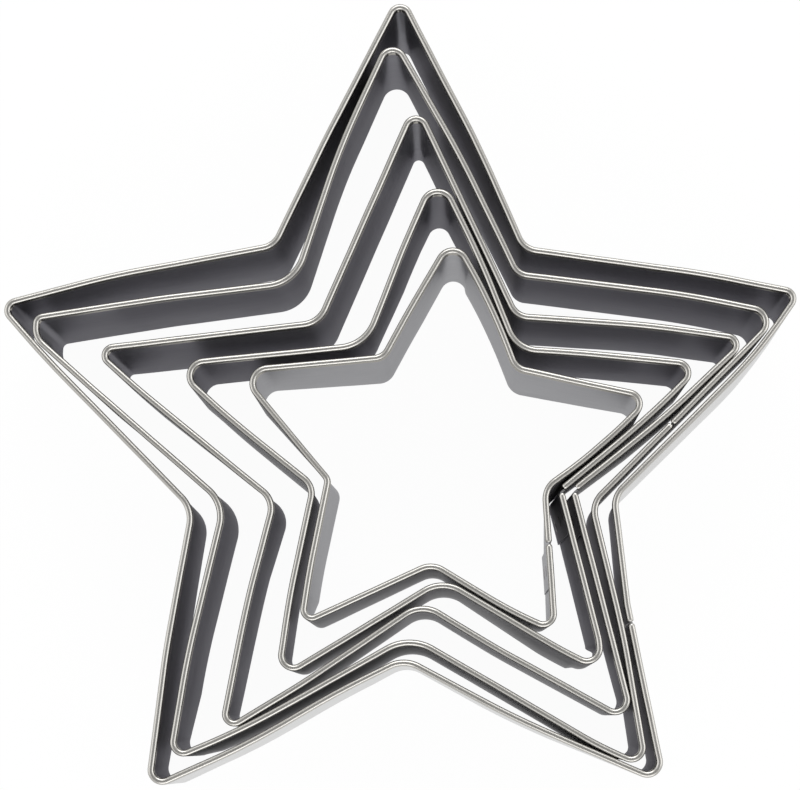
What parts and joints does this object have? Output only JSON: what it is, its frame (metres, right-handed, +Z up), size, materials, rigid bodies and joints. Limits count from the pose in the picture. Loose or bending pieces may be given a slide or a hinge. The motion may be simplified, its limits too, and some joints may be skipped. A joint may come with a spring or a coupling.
{
  "type": "nested star cookie cutter set",
  "caption": "Nest of star-shaped strip cookie cutters in graded sizes, each with a folded top hem and a welded lap, lying one inside the other.",
  "frame": {"origin": "middle of the largest star's bounding box, on the plane of the cutting edges", "axes": "+Z up from the cutting edges to the hems, +Y towards the single top tip, +X towards the right arm"},
  "size_m": [0.1, 0.099, 0.02],
  "materials": {
    "strip_steel": "bright rolled stainless strip with a fine lengthwise grain",
    "weld_steel": "pressed spot-weld marks, slightly darker than the strip"
  },
  "bodies": {
    "largest_star": {"largest_star_strip": "strip_steel", "largest_star_welds": "weld_steel"},
    "large_star": {"large_star_strip": "strip_steel", "large_star_welds": "weld_steel"},
    "middle_star": {"middle_star_strip": "strip_steel", "middle_star_welds": "weld_steel"},
    "small_star": {"small_star_strip": "strip_steel", "small_star_welds": "weld_steel"},
    "smallest_star": {"smallest_star_strip": "strip_steel", "smallest_star_welds": "weld_steel"}
  },
  "joints": [
    {"name": "large_star_lift", "type": "slide", "parent": "largest_star", "child": "large_star", "axis": [0, 0, 1], "range_m": [0, 0.025]},
    {"name": "middle_star_lift", "type": "slide", "parent": "largest_star", "child": "middle_star", "axis": [0, 0, 1], "range_m": [0, 0.025]},
    {"name": "small_star_lift", "type": "slide", "parent": "largest_star", "child": "small_star", "axis": [0, 0, 1], "range_m": [0, 0.025]},
    {"name": "smallest_star_lift", "type": "slide", "parent": "largest_star", "child": "smallest_star", "axis": [0, 0, 1], "range_m": [0, 0.025]}
  ]
}
